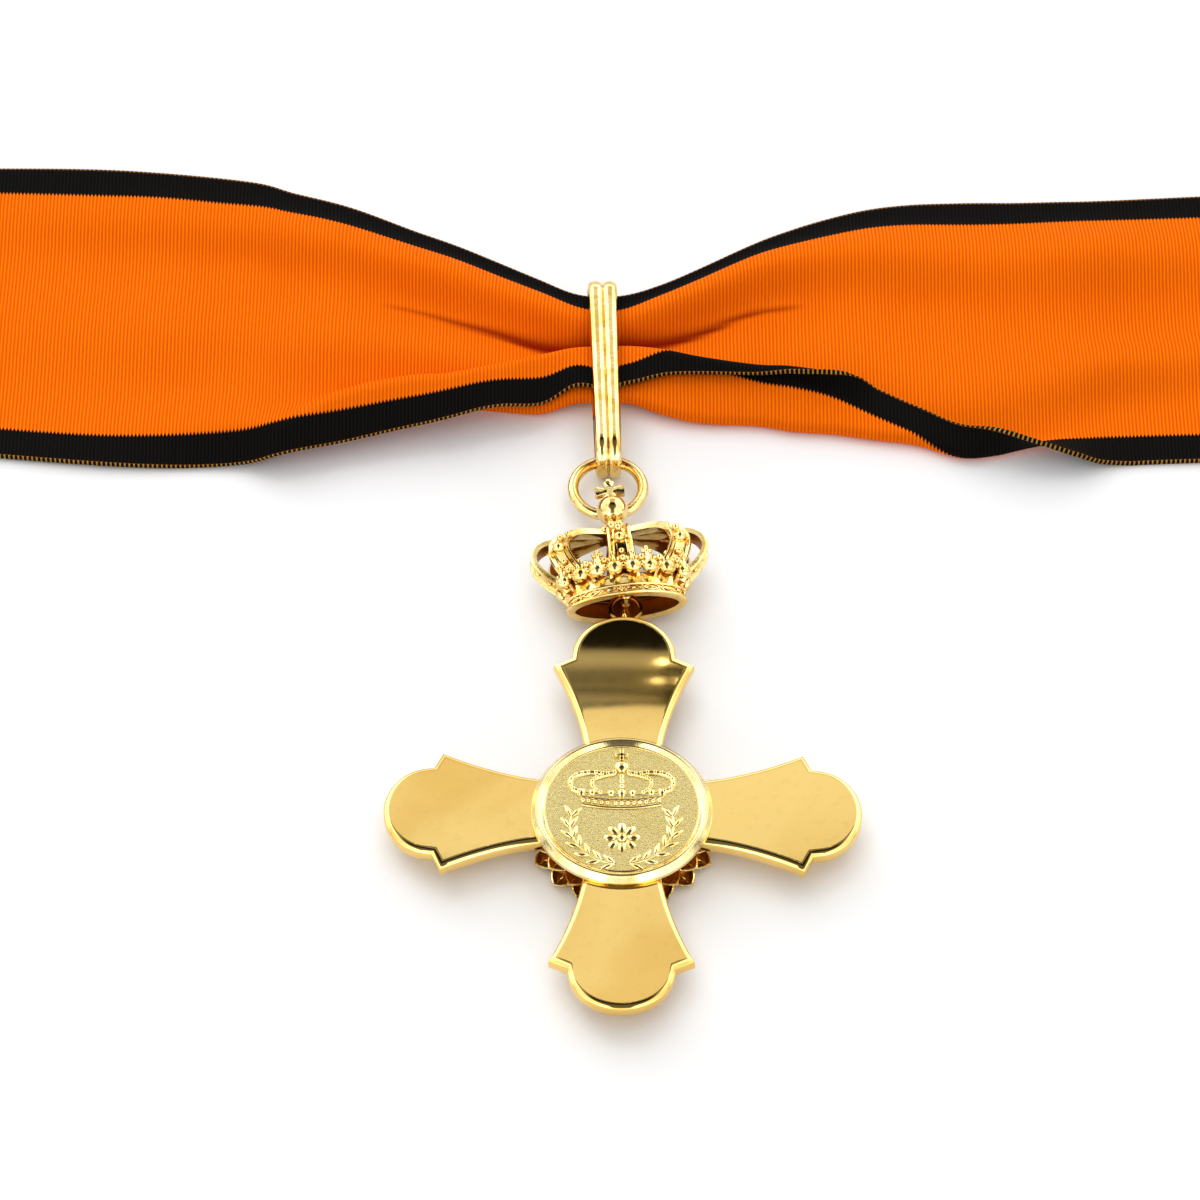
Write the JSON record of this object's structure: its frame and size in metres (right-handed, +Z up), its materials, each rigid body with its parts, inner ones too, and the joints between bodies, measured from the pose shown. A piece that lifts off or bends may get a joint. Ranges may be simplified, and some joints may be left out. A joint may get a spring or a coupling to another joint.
{
  "type": "order neck badge",
  "caption": "Neck badge of an order: lobed cross with a round back plaque, hung by a crown, a ring and a long bail from a pleated neck ribbon that lies as a closed loop.",
  "frame": {"origin": "middle of the flat face of the front boss, on the floor under the centre of the cross", "axes": "+X along the ribbon to the right of the picture, +Y from the cross towards the ribbon, +Z up out of the back of the badge"},
  "size_m": [0.2586, 0.2113, 0.0087],
  "materials": {
    "ribbon": "ribbed ribbon, orange with black edge stripes",
    "gold": "gilt, bright",
    "polished_gold": "gilt, mirror polished",
    "pale_gold": "gilt, finely matted field in a bright rim"
  },
  "bodies": {
    "root": {"ribbon": "ribbon", "ribbon_bail": "gold", "suspension_ring": "gold", "crown": "gold", "crown_link": "gold", "cross": "polished_gold", "back_medallion": "pale_gold", "front_wreath": "gold", "front_boss": "gold"}
  },
  "joints": []
}
